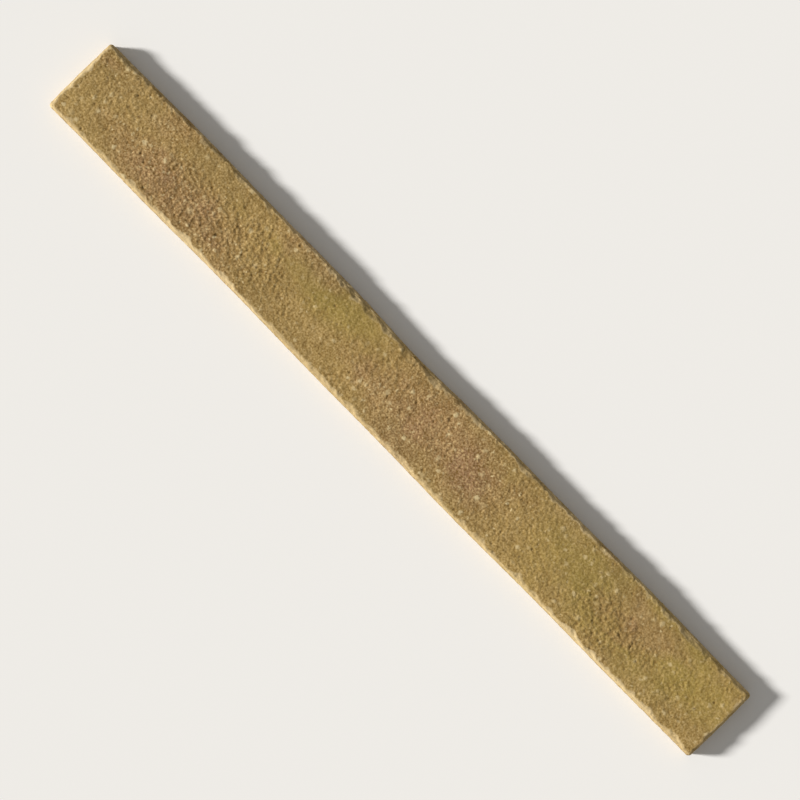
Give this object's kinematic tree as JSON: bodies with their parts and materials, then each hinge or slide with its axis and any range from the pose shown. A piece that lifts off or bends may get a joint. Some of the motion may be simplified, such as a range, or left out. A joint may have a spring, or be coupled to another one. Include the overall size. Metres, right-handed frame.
{
  "type": "wall tile",
  "caption": "Long narrow matte ochre stoneware wall tile with soft rounded arrises, gently wavy sides and a pocketed back that keys into adhesive.",
  "frame": {"origin": "middle of the back, on the surface that the tile lies on", "axes": "+X along the tile, +Y across it, +Z out of its face"},
  "size_m": [0.5, 0.05, 0.01],
  "materials": {
    "fired_clay": "matte, finely sandy, ochre with brown-pink clouding"
  },
  "bodies": {
    "root": {"tile": "fired_clay"}
  },
  "joints": []
}
